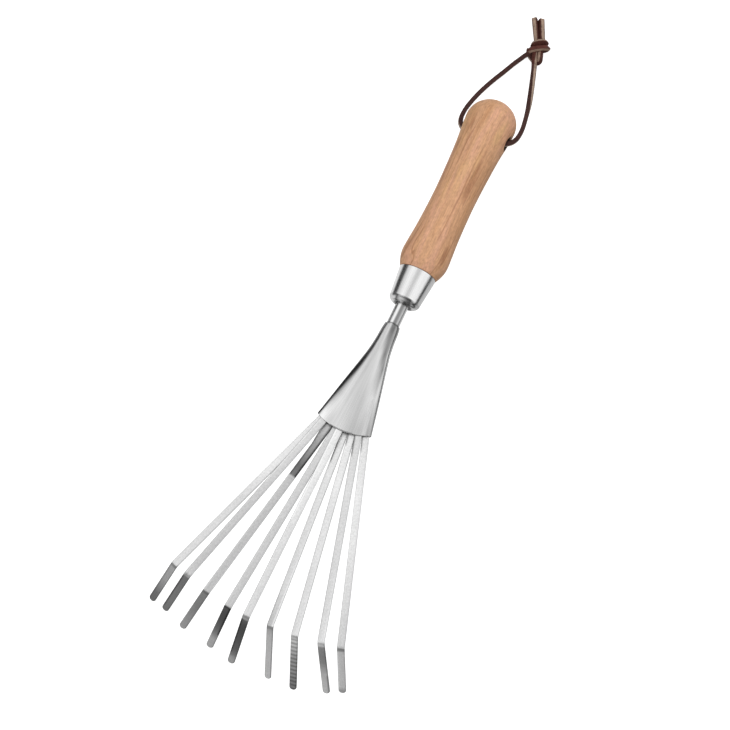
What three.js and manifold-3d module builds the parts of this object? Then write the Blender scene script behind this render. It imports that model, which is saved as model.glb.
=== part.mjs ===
// A hand fan rake: turned wooden handle, steel ferrule, round shaft, pressed steel socket, nine flat spring
// tines with bent tips, and a knotted leather thong through the handle.
// Millimetres, +Z up. The rake lies on a flat surface at z = 0, resting on its tine tips and the handle's bulb.
// Its long axis is the Y axis direction, with the butt of the handle at +Y and the tine tips at -Y.
import * as THREE from "three";
import { LoftGeometry } from "three/addons/geometries/LoftGeometry.js";
import { mergeVertices } from "three/addons/utils/BufferGeometryUtils.js";
import Module from "manifold-3d";

const wasm = await Module();
wasm.setup();

// Driving dimensions
const GAP = 0.3; // clearance between touching pieces
const BULB_RADIUS = 18.3; // the handle's butt is a dome of this radius
const AXIS_HEIGHT = BULB_RADIUS; // height of the long axis over the surface
const DOME_DEPTH = 16.9; // along the long axis
const BUTT_Y = 211.1; // end of the handle
const WAIST_RADIUS = 14.85;
const SWELL_RADIUS = 16.85; // front swell of the handle
const SHOULDER_Y = 72; // where the wood meets the ferrule
const SHOULDER_RADIUS = 13.3;
const HOLE_Y = 183.7; // centre of the cross hole for the thong
const HOLE_RADIUS = 3.5;
const COUNTERSINK_RADIUS = 5.2;

const FERRULE_END_Y = 47.4;
const FERRULE_BIG_RADIUS = 13.3;
const FERRULE_SMALL_RADIUS = 11.2;
const FERRULE_WALL = 0.9;
const FERRULE_NOSE = 4.5; // radius of the rounded end
const FERRULE_DISH = 2.2; // the end is hollow towards the shaft

const SHAFT_RADIUS = 4.5;
const SHAFT_END_Y = 24; // inside the socket
const TANG_RADIUS = 2.9; // thinner part driven into the wood
const TANG_END_Y = 128;

const SOCKET_TOP_Y = 31.6;
const SOCKET_WALL = 0.6;
const SOCKET_TOP_RADIUS = SHAFT_RADIUS + GAP + SOCKET_WALL;
const MOUTH_Y = -45; // corners of the socket's mouth
const MOUTH_HALF_WIDTH = 20.1;
const MOUTH_HALF_THICKNESS = 3.8;
const MOUTH_EDGE_RADIUS = 2.4; // the socket's rounded edges sharpen to this at the mouth
const MOUTH_ARC_RADIUS = 46; // the mouth's edge bulges towards the tines on this arc
const MOUTH_ARC_END_Y = -48.5;

const TINE_WIDTH = 5;
const TINE_THICKNESS = 1.4;
const TINE_LEVEL_STEP = 1.7; // the tine roots are stacked in three levels in the socket
const TINE_LENGTH = 136.5; // from the mouth to the bend
const TINE_BEND_RADIUS = 7;
const TINE_CORNER_RADIUS = 1.8;
const BEND_LEVEL_STEP = 1.2; // the levels draw a little closer towards the bends
const BEND_RISE = 2; // height of the middle level over the long axis at the bends

const CORD_RADIUS = 1.7;

// One row for each tine, from -X to +X: lean from the long axis in degrees, place across the mouth,
// level in the stack (-1 to 1), length beyond or short of TINE_LENGTH, length of the bent tip and
// the tip's sideways turn in degrees. A hand-made fan isn't quite even.
const TINES = [
  { lean: -19.2, root: -15.8, level: 0, extra: -1.1, tip: 33.8, turn: 1 },
  { lean: -15.4, root: -13.3, level: 1, extra: -1.9, tip: 34.7, turn: -5 },
  { lean: -10.5, root: -8.6, level: -1, extra: 0.4, tip: 33.3, turn: -11 },
  { lean: -5.1, root: -3.7, level: 0, extra: 1.1, tip: 34, turn: -5 },
  { lean: -0.4, root: -1.2, level: 1, extra: 1.1, tip: 36.5, turn: -1 },
  { lean: 5, root: 2, level: -1, extra: 0.4, tip: 35.5, turn: 24 },
  { lean: 10.1, root: 7, level: 0, extra: 0.8, tip: 37, turn: 15 },
  { lean: 15.6, root: 11.5, level: 1, extra: 0.8, tip: 35.4, turn: 17.6 },
  { lean: 19, root: 16.4, level: 0, extra: 1, tip: 32.1, turn: 5 },
];
const ROOT_DEPTH = 17; // of the tines inside the socket

// Routes of the thong's centre line, placed by hand: out of each end of the cross hole and down to the knot.
const LEFT_ARM = [
  [-0.15, 182.7, 18.3], [-6, 182.7, 18.3], [-11, 182.9, 18.3], [-14.6, 183.6, 18.3], [-17.6, 185.2, 18.1],
  [-20, 187.7, 17.6], [-21.4, 191.4, 16.8], [-22, 196, 15.4], [-22.2, 201.7, 13.3], [-21.8, 208.3, 10.6],
  [-21, 215, 8], [-19.7, 221.8, 5.7], [-17.8, 228.9, 3.8], [-15, 236.4, 2.7], [-11.4, 244.3, 2.2],
  [-7.9, 252, 2.2], [-5, 257, 2.8], [-2.2, 261.2, 3.8], [0.6, 264.4, 4.6],
];
const RIGHT_ARM = [
  [0.15, 182.7, 18.3], [6, 182.7, 18.3], [11, 182.9, 18.3], [14.6, 183.6, 18.3], [17.6, 185.2, 18.2],
  [20, 187.7, 17.9], [21.4, 191.1, 17.4], [21.8, 195.5, 16.4], [21.5, 200.6, 14.9], [20.5, 206.5, 12.6],
  [19.1, 212.8, 9.8], [17.5, 219.8, 7], [15.6, 227.2, 4.7], [13.3, 235.2, 3.1], [10.9, 243.2, 2.5],
  [9, 249.5, 2.9], [7.6, 254, 3.9], [6.2, 257.8, 5], [5, 261, 6], [4, 264, 6.2],
];
const LEFT_TAIL = [
  [1.9, 272.4, 6], [0.3, 275.6, 5.4], [-1.6, 279.4, 4.3], [-4, 284.1, 3.2], [-6.3, 288.6, 2.4], [-8.3, 292.3, 2.15],
];
const RIGHT_TAIL = [
  [5.2, 274.3, 6], [3.4, 277.9, 5.3], [1.7, 281.8, 4.3], [-0.1, 285.7, 3.2], [-1.8, 289.6, 2.4], [-3.5, 293.2, 2.15],
];
const KNOT_CENTRE = [5.5, 266.7, 5.6];
const KNOT_HALF_SIZE = [8.8, 8.1, 5.5]; // across the tails, along them, and in height
const KNOT_TURN = 28.7; // degrees about Z, from X to the knot's width

const rad = THREE.MathUtils.degToRad;

// Solids: three.js geometry goes into manifold-3d for a cut or a join, and comes back as geometry.
function toSolid(geometry) {
  const bare = geometry.index ? geometry.toNonIndexed() : geometry.clone();
  bare.deleteAttribute("normal");
  bare.deleteAttribute("uv");
  const merged = mergeVertices(bare, 1e-4);
  const mesh = new wasm.Mesh({
    numProp: 3,
    vertProperties: merged.attributes.position.array,
    triVerts: new Uint32Array(merged.index.array),
  });
  return new wasm.Manifold(mesh);
}

function toGeometry(solid) {
  const mesh = solid.getMesh();
  const geometry = new THREE.BufferGeometry();
  geometry.setAttribute("position", new THREE.BufferAttribute(mesh.vertProperties, 3));
  geometry.setIndex(new THREE.BufferAttribute(mesh.triVerts, 1));
  const flat = geometry.toNonIndexed();
  flat.computeVertexNormals();
  return flat;
}

function cut(geometry, ...cutters) {
  return toGeometry(cutters.reduce((solid, c) => solid.subtract(toSolid(c)), toSolid(geometry)));
}

// A body of revolution about the long axis, from [radius, y] pairs.
function turned(profile, segments) {
  const points = profile.map(([r, y]) => new THREE.Vector2(r, y));
  return new THREE.LatheGeometry(points, segments);
}

// A rod along the long axis from y0 to y1.
function rodAlongY(radius, y0, y1, segments) {
  return new THREE.CylinderGeometry(radius, radius, y1 - y0, segments).translate(0, (y0 + y1) / 2, 0);
}

// The handle's outline from the shoulder to the butt: a smooth curve, then a dome.
function handleOutline() {
  const bulbY = BUTT_Y - DOME_DEPTH;
  const curve = new THREE.SplineCurve([
    new THREE.Vector2(SHOULDER_RADIUS, SHOULDER_Y + GAP),
    new THREE.Vector2(14.9, 75.6),
    new THREE.Vector2(16.4, 80.2),
    new THREE.Vector2(SWELL_RADIUS, 84.5),
    new THREE.Vector2(16.4, 92.8),
    new THREE.Vector2(15.6, 104),
    new THREE.Vector2(WAIST_RADIUS, 130),
    new THREE.Vector2(15.5, 155),
    new THREE.Vector2(16.6, 174),
    new THREE.Vector2(17.8, 185.5),
    new THREE.Vector2(BULB_RADIUS, bulbY),
  ]);
  const outline = curve.getPoints(20).map((p) => [p.x, p.y]);
  const domeSteps = 7;
  for (let i = 1; i <= domeSteps; i++) {
    const turn = (i / domeSteps) * (Math.PI / 2);
    outline.push([BULB_RADIUS * Math.cos(turn), bulbY + DOME_DEPTH * Math.sin(turn)]);
  }
  outline[outline.length - 1][0] = 0;
  return outline;
}

function handleGeometry() {
  const spigotBig = FERRULE_BIG_RADIUS - FERRULE_WALL - GAP;
  const spigotSmall = FERRULE_SMALL_RADIUS - FERRULE_WALL - GAP;
  const spigotEndY = FERRULE_END_Y + FERRULE_NOSE + 1;
  const profile = [[0, spigotEndY], [spigotSmall, spigotEndY], [spigotBig, SHOULDER_Y + GAP], ...handleOutline()];
  const tangHole = rodAlongY(TANG_RADIUS + GAP, spigotEndY - 1, TANG_END_Y + 1, 16);
  const neckHole = rodAlongY(SHAFT_RADIUS + GAP, spigotEndY - 1, spigotEndY + 5, 16);
  const crossHole = new THREE.CylinderGeometry(HOLE_RADIUS, HOLE_RADIUS, 4 * BULB_RADIUS, 20)
    .rotateZ(Math.PI / 2)
    .translate(0, HOLE_Y, 0);
  const countersinks = [-1, 1].map((side) => countersink(side));
  return cut(turned(profile, 32), tangHole, neckHole, crossHole, ...countersinks);
}

// A cone that opens the cross hole at the handle's side, side is -1 or 1.
function countersink(side) {
  const depth = COUNTERSINK_RADIUS - HOLE_RADIUS + 2;
  const cone = new THREE.CylinderGeometry(COUNTERSINK_RADIUS + 2, HOLE_RADIUS - 0.2, depth + 0.2, 20);
  const surfaceX = 17.6;
  return cone.rotateZ((-side * Math.PI) / 2).translate(side * (surfaceX + 1), HOLE_Y, 0);
}

function ferruleGeometry() {
  const noseY = FERRULE_END_Y + FERRULE_NOSE;
  const noseCentreRadius = FERRULE_SMALL_RADIUS - FERRULE_NOSE;
  const outside = [[FERRULE_BIG_RADIUS, SHOULDER_Y]];
  const inside = [[FERRULE_BIG_RADIUS - FERRULE_WALL, SHOULDER_Y]];
  const steps = 4;
  for (let i = 0; i <= steps; i++) {
    const turn = (i / steps) * (Math.PI / 2);
    const arc = (radius) => [noseCentreRadius + radius * Math.cos(turn), noseY - radius * Math.sin(turn)];
    outside.push(arc(FERRULE_NOSE));
    inside.push(arc(FERRULE_NOSE - FERRULE_WALL));
  }
  const hole = SHAFT_RADIUS + GAP;
  outside.push([hole, FERRULE_END_Y + FERRULE_DISH]);
  inside.push([hole, FERRULE_END_Y + FERRULE_DISH + FERRULE_WALL]);
  const loop = [...inside, ...outside.reverse()];
  return turned([...loop, loop[0]], 32);
}

function shaftGeometry() {
  const neckY = FERRULE_END_Y + FERRULE_NOSE + 4;
  return turned(
    [
      [0, SHAFT_END_Y],
      [SHAFT_RADIUS - 0.5, SHAFT_END_Y],
      [SHAFT_RADIUS, SHAFT_END_Y + 0.5],
      [SHAFT_RADIUS, neckY],
      [TANG_RADIUS, neckY + 1],
      [TANG_RADIUS, TANG_END_Y - 12],
      [0.8, TANG_END_Y],
      [0, TANG_END_Y],
    ],
    20,
  );
}

// A ring across the long axis: a rectangle with rounded corners.
function roundedRing(halfWidth, halfThickness, cornerRadius, y) {
  const points = [];
  const steps = 3;
  for (let corner = 0; corner < 4; corner++)
    for (let i = 0; i <= steps; i++) {
      const turn = (corner + i / steps) * (Math.PI / 2);
      const sideX = corner === 0 || corner === 3 ? 1 : -1;
      const sideZ = corner < 2 ? 1 : -1;
      const x = sideX * (halfWidth - cornerRadius) + cornerRadius * Math.cos(turn);
      const z = sideZ * (halfThickness - cornerRadius) + cornerRadius * Math.sin(turn);
      points.push(new THREE.Vector3(x, y, z));
    }
  return points;
}

// Half width of the socket: round at the top, then widening almost in a straight line to the mouth.
const SOCKET_STATIONS = [
  { y: SOCKET_TOP_Y, halfWidth: SOCKET_TOP_RADIUS },
  { y: 28, halfWidth: 6 },
  { y: 19, halfWidth: 6.7 },
  { y: 11, halfWidth: 7.8 },
  { y: 2, halfWidth: 9.7 },
  { y: -20, halfWidth: 14.7 },
  { y: MOUTH_Y, halfWidth: MOUTH_HALF_WIDTH },
  { y: -50, halfWidth: 21.1 },
];

function socketRings(inset, reach) {
  const last = SOCKET_STATIONS.length - 1;
  return SOCKET_STATIONS.map(({ y, halfWidth }, i) => {
    const part = (SOCKET_TOP_Y - y) / (SOCKET_TOP_Y - MOUTH_Y);
    const halfThickness = THREE.MathUtils.lerp(SOCKET_TOP_RADIUS, MOUTH_HALF_THICKNESS, part);
    const edge = THREE.MathUtils.lerp(SOCKET_TOP_RADIUS - 0.05, MOUTH_EDGE_RADIUS, part);
    const ends = i === 0 ? reach : i === last ? -reach : 0;
    return roundedRing(halfWidth - inset, halfThickness - inset, edge - inset, y + ends);
  });
}

function socketGeometry() {
  const caps = { capStart: true, capEnd: true };
  const outside = toSolid(new LoftGeometry(socketRings(0, 0), caps));
  const inside = toSolid(new LoftGeometry(socketRings(SOCKET_WALL, 1), caps));
  const mouthDisc = new THREE.CylinderGeometry(MOUTH_ARC_RADIUS, MOUTH_ARC_RADIUS, 30, 96)
    .rotateX(Math.PI / 2)
    .translate(0, MOUTH_ARC_END_Y + MOUTH_ARC_RADIUS, 0);
  return toGeometry(outside.subtract(inside).intersect(toSolid(mouthDisc)));
}

// One flat tine: a strip with rounded edges, straight from its root in the socket to the bend, then the tip.
function tineGeometry({ lean, root, level, extra, tip, turn }) {
  const length = TINE_LENGTH + extra;
  const start = new THREE.Vector3(root, MOUTH_Y, level * TINE_LEVEL_STEP);
  const flatDirection = new THREE.Vector3(Math.sin(rad(lean)), -Math.cos(rad(lean)), 0);
  const bendHeight = BEND_RISE + level * BEND_LEVEL_STEP;
  const corner = start.clone().addScaledVector(flatDirection, length).setZ(bendHeight);
  const forward = corner.clone().sub(start).normalize();
  const across = new THREE.Vector3().crossVectors(forward, new THREE.Vector3(0, 0, 1)).normalize().negate();
  const bend = Math.asin((AXIS_HEIGHT + bendHeight - TINE_THICKNESS / 2) / tip);
  const tangent = TINE_BEND_RADIUS * Math.tan(bend / 2);
  const along = (s) => corner.clone().addScaledVector(forward, s - length);
  const sections = [tineSection(along(-ROOT_DEPTH), forward, across, 0, TINE_WIDTH / 2)];
  const straightSteps = 4;
  for (let i = 0; i <= straightSteps; i++) {
    const s = (i / straightSteps) * (length - tangent);
    sections.push(tineSection(along(s), forward, across, rad(turn) * (i / straightSteps), TINE_WIDTH / 2));
  }
  const side = across.clone().applyAxisAngle(forward, rad(turn));
  const bendSteps = 4;
  const point = along(length - tangent);
  const direction = forward.clone();
  const stepLength = 2 * TINE_BEND_RADIUS * Math.tan(bend / bendSteps / 2);
  for (let i = 1; i <= bendSteps; i++) {
    point.addScaledVector(direction, stepLength / 2);
    direction.applyAxisAngle(side, bend / bendSteps);
    point.addScaledVector(direction, stepLength / 2);
    sections.push(tineSection(point, direction, side, 0, TINE_WIDTH / 2));
  }
  const tipStraight = tip - tangent - TINE_CORNER_RADIUS;
  for (const degrees of [0, 35, 62, 88]) {
    const reach = tipStraight + TINE_CORNER_RADIUS * Math.sin(rad(degrees));
    const halfWidth = TINE_WIDTH / 2 - TINE_CORNER_RADIUS * (1 - Math.cos(rad(degrees)));
    sections.push(tineSection(point.clone().addScaledVector(direction, reach), direction, side, 0, halfWidth));
  }
  return new LoftGeometry(sections, { capStart: true, capEnd: true });
}

// The strip's section: flat top and bottom, rounded edges, turned about the strip's own direction.
function tineSection(centre, direction, across, turn, halfWidth) {
  const wide = across.clone().applyAxisAngle(direction, turn);
  const up = new THREE.Vector3().crossVectors(wide, direction).normalize();
  const half = TINE_THICKNESS / 2;
  const flat = Math.max(halfWidth - half, 0.1);
  const edge = halfWidth - 0.25 * half;
  const outline = [[flat, half], [edge, 0.5 * half], [edge, -0.5 * half], [flat, -half]];
  const mirrored = outline.map(([u, v]) => [-u, -v]);
  return [...outline, ...mirrored].map(([u, v]) =>
    centre.clone().addScaledVector(wide, u).addScaledVector(up, v),
  );
}

// A length of thong along its route, cut back where it runs into the knot.
function cordGeometry(route, steps) {
  const curve = new THREE.CatmullRomCurve3(route.map((p) => new THREE.Vector3(...p)), false, "centripetal");
  const section = new THREE.Shape();
  const sides = 8;
  for (let i = 0; i < sides; i++) {
    const turn = ((i + 0.5) / sides) * 2 * Math.PI;
    const place = [CORD_RADIUS * Math.cos(turn), CORD_RADIUS * Math.sin(turn)];
    if (i === 0) section.moveTo(...place);
    else section.lineTo(...place);
  }
  section.closePath();
  const tube = new THREE.ExtrudeGeometry(section, { steps, extrudePath: curve, bevelEnabled: false });
  return cut(tube, knotGeometry(GAP));
}

// The knot's outer shape, grown by a margin.
function knotGeometry(margin) {
  const halfSize = KNOT_HALF_SIZE.map((half) => half + margin);
  return new THREE.SphereGeometry(1, 14, 9)
    .rotateX(Math.PI / 2)
    .scale(...halfSize)
    .rotateZ(rad(KNOT_TURN))
    .translate(...KNOT_CENTRE);
}

const wood = new THREE.MeshStandardMaterial({ color: 0xcda07a, roughness: 0.55, metalness: 0 });
const steel = new THREE.MeshStandardMaterial({ color: 0xc9cacb, roughness: 0.28, metalness: 1 });
const tineSteel = new THREE.MeshStandardMaterial({ color: 0xd3d4d4, roughness: 0.32, metalness: 1 });
const leather = new THREE.MeshStandardMaterial({ color: 0x40281f, roughness: 0.7, metalness: 0 });

function piece(name, geometry, material) {
  const mesh = new THREE.Mesh(geometry, material.clone());
  mesh.name = name;
  return mesh;
}

// Everything rigid is drawn about the long axis, then lifted so that the rake rests on the surface.
const tool = new THREE.Group();
tool.position.z = AXIS_HEIGHT;
tool.add(piece("handle", handleGeometry(), wood));
tool.add(piece("ferrule", ferruleGeometry(), steel));
tool.add(piece("shaft", shaftGeometry(), steel));
tool.add(piece("socket", socketGeometry(), steel));
TINES.forEach((tine, i) => tool.add(piece(`tine_${i + 1}`, tineGeometry(tine), tineSteel)));

const thong = new THREE.Group();
thong.add(piece("thong_left_arm", cordGeometry(LEFT_ARM, 22), leather));
thong.add(piece("thong_right_arm", cordGeometry(RIGHT_ARM, 22), leather));
thong.add(piece("thong_left_tail", cordGeometry(LEFT_TAIL, 5), leather));
thong.add(piece("thong_right_tail", cordGeometry(RIGHT_TAIL, 5), leather));
thong.add(piece("thong_knot", knotGeometry(0), leather));

const rake = new THREE.Group();
rake.add(tool, thong);
export default rake;
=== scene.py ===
"""The visual model of a hand fan rake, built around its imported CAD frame.

Lengths are in millimetres and become metres through MM, except in the materials, the camera and the studio,
which are in metres.
"""
import math

import bmesh
import bpy
from mathutils import Matrix, Vector


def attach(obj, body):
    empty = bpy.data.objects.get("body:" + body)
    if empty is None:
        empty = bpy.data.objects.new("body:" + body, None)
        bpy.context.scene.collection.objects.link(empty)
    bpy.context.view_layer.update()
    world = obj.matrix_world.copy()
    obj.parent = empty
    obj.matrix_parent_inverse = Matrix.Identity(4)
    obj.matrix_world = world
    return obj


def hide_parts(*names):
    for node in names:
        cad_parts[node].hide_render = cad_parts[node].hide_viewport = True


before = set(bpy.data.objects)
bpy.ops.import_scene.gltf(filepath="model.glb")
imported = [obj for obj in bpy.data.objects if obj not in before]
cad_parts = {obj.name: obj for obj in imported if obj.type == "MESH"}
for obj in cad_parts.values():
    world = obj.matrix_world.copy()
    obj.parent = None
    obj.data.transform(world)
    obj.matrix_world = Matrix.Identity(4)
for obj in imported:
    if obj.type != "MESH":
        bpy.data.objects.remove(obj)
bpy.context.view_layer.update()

MM = 0.001
RAKE = "rake"
LOOP = "hanging_loop"
AXIS_HEIGHT = 18.3  # of the rake's long axis over the floor, mm
HOLE_Y = 183.7  # of the cross hole for the thong, mm

# ------------------------------------------------------------------ camera


def add_camera():
    """The camera: it looks down steeply at the rake from the +X, -Y side, a little rolled."""
    azimuth, elevation, roll = (math.radians(a) for a in (44.63, 71.87, -20.08))
    target = Vector((-5.14, -0.85, AXIS_HEIGHT)) * MM
    distance = 0.8553
    back = Vector((math.sin(azimuth) * math.cos(elevation), -math.cos(azimuth) * math.cos(elevation),
                   math.sin(elevation)))
    right = Vector((math.cos(azimuth), math.sin(azimuth), 0))
    up = back.cross(right)
    rolled_right = math.cos(roll) * right + math.sin(roll) * up
    rolled_up = math.cos(roll) * up - math.sin(roll) * right
    data = bpy.data.cameras.new("camera")
    data.lens = 63.05
    data.sensor_width = 36
    data.sensor_fit = "HORIZONTAL"
    camera = bpy.data.objects.new("camera", data)
    camera.matrix_world = (Matrix.Translation(target + back * distance)
                           @ Matrix((rolled_right, rolled_up, back)).transposed().to_4x4())
    bpy.context.scene.collection.objects.link(camera)
    bpy.context.scene.camera = camera


add_camera()

# ------------------------------------------------------------------ node helpers


class Nodes:
    """Adds nodes to one tree. An input given as a socket is linked, anything else is its value."""

    def __init__(self, tree):
        self.tree = tree
        tree.nodes.clear()

    def add(self, kind, inputs=None, **settings):
        node = self.tree.nodes.new("ShaderNode" + kind)
        for name, value in settings.items():
            setattr(node, name, value)
        for key, value in (inputs or {}).items():
            if isinstance(value, bpy.types.NodeSocket):
                self.tree.links.new(value, node.inputs[key])
            else:
                node.inputs[key].default_value = value
        return node

    def noise(self, vector, scale, stretch, detail=3.0, roughness=0.55, distortion=0.0):
        """Noise in a stretched space: scale is features a metre, stretch multiplies it per axis."""
        placed = self.add("Mapping", {"Vector": vector, "Scale": [scale * s for s in stretch]})
        made = self.add("TexNoise", {"Vector": placed.outputs[0], "Scale": 1.0, "Detail": detail,
                                     "Roughness": roughness, "Distortion": distortion})
        return made.outputs["Fac"]

    def ramp(self, factor, stops, smooth=True):
        """A colour ramp from (position, colour) stops; a single number is a grey."""
        node = self.add("ValToRGB", {"Fac": factor})
        node.color_ramp.interpolation = "EASE" if smooth else "LINEAR"
        elements = node.color_ramp.elements
        while len(elements) < len(stops):
            elements.new(0.5)
        for element, (position, colour) in zip(elements, stops):
            element.position = position
            element.color = (*colour, 1) if hasattr(colour, "__len__") else (colour, colour, colour, 1)
        return node.outputs["Color"]

    def mix(self, factor, first, second, blend="MIX"):
        node = self.add("Mix", data_type="RGBA", blend_type=blend)
        for key, value in ((0, factor), (6, first), (7, second)):
            if isinstance(value, bpy.types.NodeSocket):
                self.tree.links.new(value, node.inputs[key])
            else:
                node.inputs[key].default_value = (*value, 1) if hasattr(value, "__len__") else value
        return node.outputs[2]

    def math(self, operation, *values):
        return self.add("Math", dict(enumerate(values)), operation=operation).outputs[0]

    def bump(self, height, strength, distance):
        made = self.add("Bump", {"Height": height, "Strength": strength, "Distance": distance * MM})
        return made.outputs[0]


def new_material(name):
    material = bpy.data.materials.new(name)
    material.use_nodes = True
    return material, Nodes(material.node_tree)


def finish_material(nodes, shader):
    nodes.add("OutputMaterial", {"Surface": shader.outputs[0]})


# ------------------------------------------------------------------ materials

LATE_WOOD = (0.36, 0.165, 0.075)
DARK_LINE = (0.30, 0.125, 0.06)
TAN_WOOD = (0.63, 0.385, 0.17)
PORE = (0.27, 0.125, 0.06)
# What rubbing does to the leather's colours on its grain side and on its raw sides.
RUBBED_GRAIN = (2.4, 1.7, 1.5)
RUBBED_RAW = (0.58, 0.52, 0.48)


def wood_figure(n, place):
    """The wood's colour: broad bands, late wood, a few thin dark lines and tan patches, all along Y."""
    broad = n.noise(place, 105, (1.0, 0.10, 1.0), detail=3.0, distortion=0.4)
    colour = n.ramp(broad, [(0.30, (0.53, 0.283, 0.146)), (0.47, (0.59, 0.328, 0.183)),
                            (0.60, (0.615, 0.335, 0.21)), (0.75, (0.66, 0.375, 0.225))])
    x, y, _ = n.add("SeparateXYZ", {0: place}).outputs
    wander = n.noise(place, 26, (1.0, 0.35, 1.0), detail=3.0)
    layered = n.add("CombineXYZ", {0: n.math("MULTIPLY_ADD", wander, 0.018, x), 1: 0.0, 2: 0.0}).outputs[0]
    layers = n.add("TexWave", {"Vector": layered, "Scale": 31.0, "Distortion": 0.0}, wave_type="BANDS",
                   bands_direction="X", wave_profile="SAW").outputs["Fac"]
    late_wood = n.ramp(layers, [(0.0, 0.35), (0.12, 0.0), (0.70, 0.0), (0.95, 1.0), (1.0, 0.7)])
    broken = n.ramp(n.noise(place, 40, (1.0, 0.30, 1.0), detail=2.0), [(0.40, 0.05), (0.62, 1.0)])
    late_strength = n.math("MULTIPLY", n.math("MULTIPLY", late_wood, broken), 0.30)
    colour = n.mix(late_strength, colour, LATE_WOOD)
    contour = n.noise(place, 70, (1.0, 0.045, 1.0), detail=2.0, roughness=0.5)
    off_line = n.math("ABSOLUTE", n.math("SUBTRACT", contour, 0.5))
    line = n.ramp(off_line, [(0.0, 1.0), (0.007, 0.8), (0.020, 0.0)])
    away_from_butt = n.ramp(y, [(0.180, 1.0), (0.198, 0.0)])
    line = n.math("MULTIPLY", line, away_from_butt)
    patchy = n.ramp(n.noise(place, 70, (1.0, 0.22, 1.0), detail=2.0), [(0.40, 0.0), (0.52, 1.0)])
    colour = n.mix(n.math("MULTIPLY", n.math("MULTIPLY", line, patchy), 0.62), colour, DARK_LINE)
    tan = n.noise(place, 85, (1.0, 0.14, 1.0), detail=2.0, distortion=0.3)
    tan_mask = n.ramp(tan, [(0.56, 0.0), (0.70, 1.0)])
    return n.mix(n.math("MULTIPLY", tan_mask, 0.55), colour, TAN_WOOD)


def bore_shade(n, place):
    """Dark in the cross hole and just round it, mostly on its butt side, and 1 elsewhere."""
    shade_centre = (0, (HOLE_Y + 0.8) * MM, AXIS_HEIGHT * MM)
    away = n.add("VectorMath", {0: place, 1: shade_centre}, operation="SUBTRACT").outputs[0]
    away = n.add("VectorMath", {0: away, 1: (0, 1, 1)}, operation="MULTIPLY").outputs[0]
    distance = n.add("VectorMath", {0: away}, operation="LENGTH").outputs["Value"]
    return n.ramp(n.math("MULTIPLY", distance, 100), [(0.44, 0.05), (0.52, 0.25), (0.60, 1.0)])


def wood_material():
    """Light oiled hardwood with its grain along Y."""
    material, n = new_material("turned_wood")
    place = n.add("TexCoord").outputs["Object"]
    colour = wood_figure(n, place)
    fibre = n.noise(place, 1300, (1.0, 0.035, 1.0), detail=3.0, roughness=0.65)
    colour = n.mix(1.0, colour, n.ramp(fibre, [(0.25, 0.86), (0.75, 1.12)]), "MULTIPLY")
    speckle = n.ramp(n.noise(place, 720, (1.0, 0.5, 1.0), detail=2.0), [(0.3, 0.91), (0.7, 1.08)])
    colour = n.mix(1.0, colour, speckle, "MULTIPLY")
    pores = n.ramp(n.noise(place, 1300, (1.0, 0.10, 1.0), detail=1.0), [(0.62, 0.0), (0.70, 1.0)])
    colour = n.mix(n.math("MULTIPLY", pores, 0.30), colour, PORE)
    shade = bore_shade(n, place)
    colour = n.mix(1.0, colour, shade, "MULTIPLY")
    height = n.math("SUBTRACT", fibre, n.math("MULTIPLY", pores, 0.8))
    oiled = n.ramp(fibre, [(0.2, 0.50), (0.8, 0.64)])
    roughness = n.math("MAXIMUM", oiled, n.math("SUBTRACT", 1.0, shade))
    shader = n.add("BsdfPrincipled", {
        "Base Color": colour, "Roughness": roughness, "Specular IOR Level": 0.30,
        "Normal": n.bump(height, 0.35, 0.12)})
    finish_material(n, shader)
    return material


def steel_material(name, dark, light, roughness, along, across, bump=0.10):
    """Brushed steel: streaks run along U. along is streaks a metre, across is streaks round the piece."""
    material, n = new_material(name)
    uv = n.add("UVMap").outputs[0]
    streaks = n.noise(uv, 1, (along, across, 1), detail=4.0, roughness=0.7)
    smudge = n.noise(n.add("TexCoord").outputs["Object"], 55, (1, 1, 1), detail=2.0)
    # The mesh's tone holds painted reflections and painted shade.
    tone = n.add("Attribute", attribute_name="tone").outputs["Color"]
    colour = n.ramp(streaks, [(0.25, dark), (0.75, light)])
    colour = n.mix(1.0, colour, tone, "MULTIPLY")
    worn = n.ramp(smudge, [(0.3, roughness - 0.03), (0.7, roughness + 0.05)])
    fine = n.math("MULTIPLY", streaks, 0.10)
    shader = n.add("BsdfPrincipled", {
        "Base Color": colour, "Metallic": 1.0, "Roughness": n.math("ADD", worn, fine),
        "Normal": n.bump(streaks, bump, 0.05)})
    finish_material(n, shader)
    return material


def scaled(colour, factor):
    return [c * factor for c in colour]


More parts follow.
